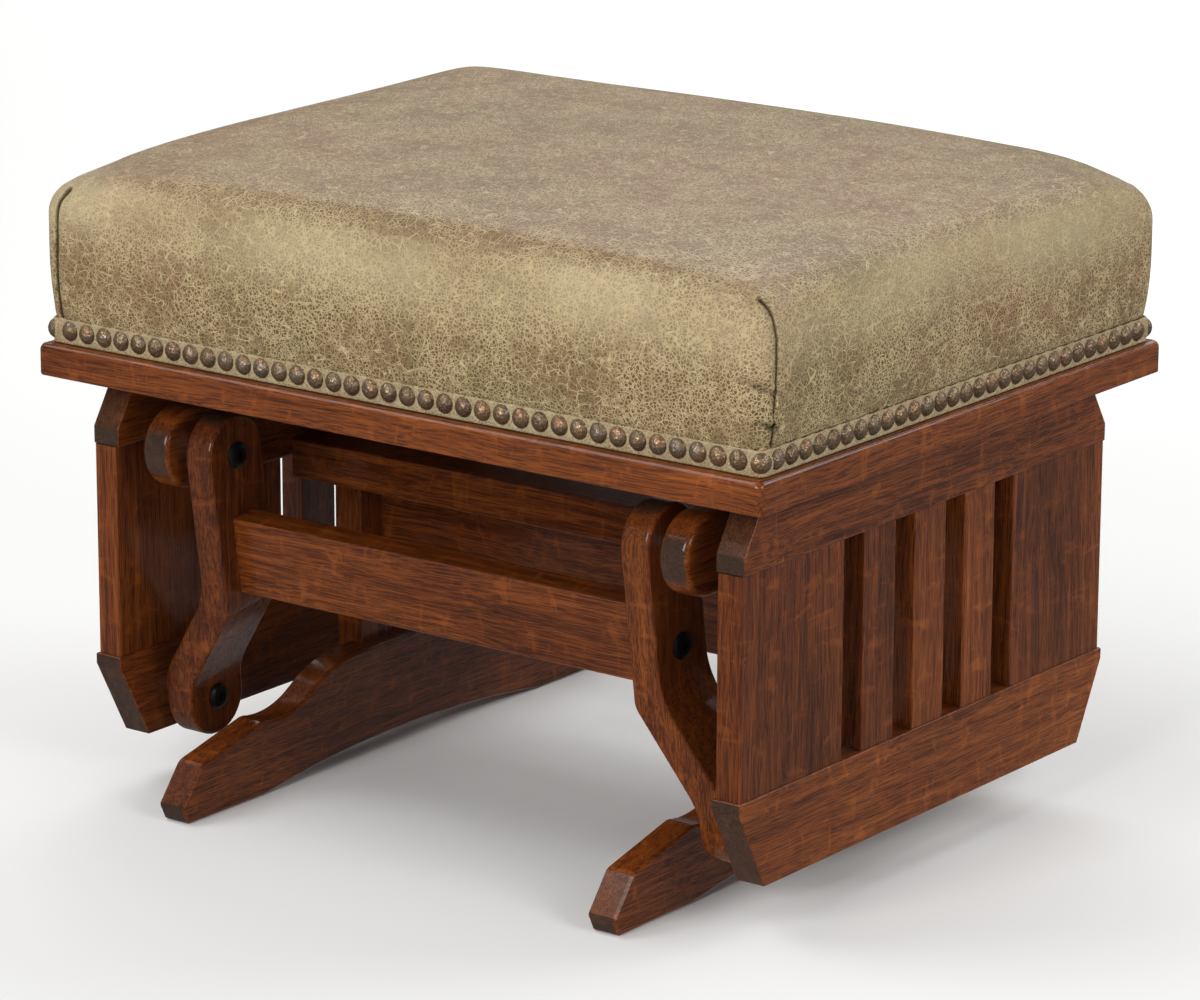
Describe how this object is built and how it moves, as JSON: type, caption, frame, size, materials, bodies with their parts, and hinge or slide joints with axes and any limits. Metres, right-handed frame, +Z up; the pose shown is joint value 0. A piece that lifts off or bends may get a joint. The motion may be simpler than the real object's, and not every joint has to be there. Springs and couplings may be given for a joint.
{
  "type": "glider ottoman",
  "caption": "Upholstered footrest on slatted side panels that glides forward and back on S-shaped swing arms hung from a fixed sled base.",
  "frame": {"origin": "on the floor under the middle of the object", "axes": "+Z up; the seat glides along Y and the front faces -Y; X runs along the seat's long side, left to right"},
  "size_m": [0.558, 0.4492, 0.4203],
  "materials": {
    "oak": "satin",
    "plywood": "matte",
    "cushion_leather": "satin",
    "band_leather": "satin",
    "antique_brass": "satin",
    "black_bolt": "satin",
    "steel": "satin"
  },
  "bodies": {
    "base": {"centre_board": "oak", "cross_rail_front": "oak", "cross_rail_rear": "oak", "foot_left": "oak", "foot_right": "oak", "top_bolt_front_left": "black_bolt", "top_bolt_front_right": "black_bolt", "top_bolt_rear_left": "black_bolt", "top_bolt_rear_right": "black_bolt", "upper_rail_left": "oak", "upper_rail_right": "oak", "upright_left": "oak", "upright_right": "oak"},
    "front_arms": {"arm_front_left": "oak", "arm_front_right": "oak", "bearing_lower_front_left": "steel", "bearing_lower_front_right": "steel", "bearing_upper_front_left": "steel", "bearing_upper_front_right": "steel", "stretcher_bolt_front_left": "black_bolt", "stretcher_bolt_front_right": "black_bolt", "stretcher_front": "oak"},
    "rear_arms": {"arm_rear_left": "oak", "arm_rear_right": "oak", "bearing_lower_rear_left": "steel", "bearing_lower_rear_right": "steel", "bearing_upper_rear_left": "steel", "bearing_upper_rear_right": "steel", "stretcher_bolt_rear_left": "black_bolt", "stretcher_bolt_rear_right": "black_bolt", "stretcher_rear": "oak"},
    "seat": {"cushion": "cushion_leather", "deck_screws": "steel", "front_stile_left": "oak", "front_stile_right": "oak", "leather_band": "band_leather", "low_bolt_front_left": "black_bolt", "low_bolt_front_right": "black_bolt", "low_bolt_rear_left": "black_bolt", "low_bolt_rear_right": "black_bolt", "lower_rail_left": "oak", "lower_rail_right": "oak", "nails_corners": "antique_brass", "nails_front": "antique_brass", "nails_left": "antique_brass", "nails_rear": "antique_brass", "nails_right": "antique_brass", "rear_stile_left": "oak", "rear_stile_right": "oak", "seat_board": "oak", "seat_deck": "plywood", "slat_front_left": "oak", "slat_front_right": "oak", "slat_middle_left": "oak", "slat_middle_right": "oak", "slat_rear_left": "oak", "slat_rear_right": "oak", "top_rail_left": "oak", "top_rail_right": "oak"}
  },
  "joints": [
    {"name": "front_arms_swing", "type": "hinge", "parent": "base", "child": "front_arms", "pos_m": [0, -0.1685, 0.231], "axis": [1, 0, 0], "range_deg": [-12, 12]},
    {"name": "rear_arms_swing", "type": "hinge", "parent": "base", "child": "rear_arms", "pos_m": [0, 0.1685, 0.231], "axis": [1, 0, 0], "range_deg": [-12, 12]},
    {"name": "seat_pivot", "type": "hinge", "parent": "front_arms", "child": "seat", "pos_m": [0, -0.143, 0.0585], "axis": [1, 0, 0], "range_deg": [-14.2, 14.2]}
  ],
  "couplings": [
    {"joint": "rear_arms_swing", "follows": "front_arms_swing", "ratio": 1},
    {"joint": "seat_pivot", "follows": "front_arms_swing", "ratio": -1.1763}
  ]
}
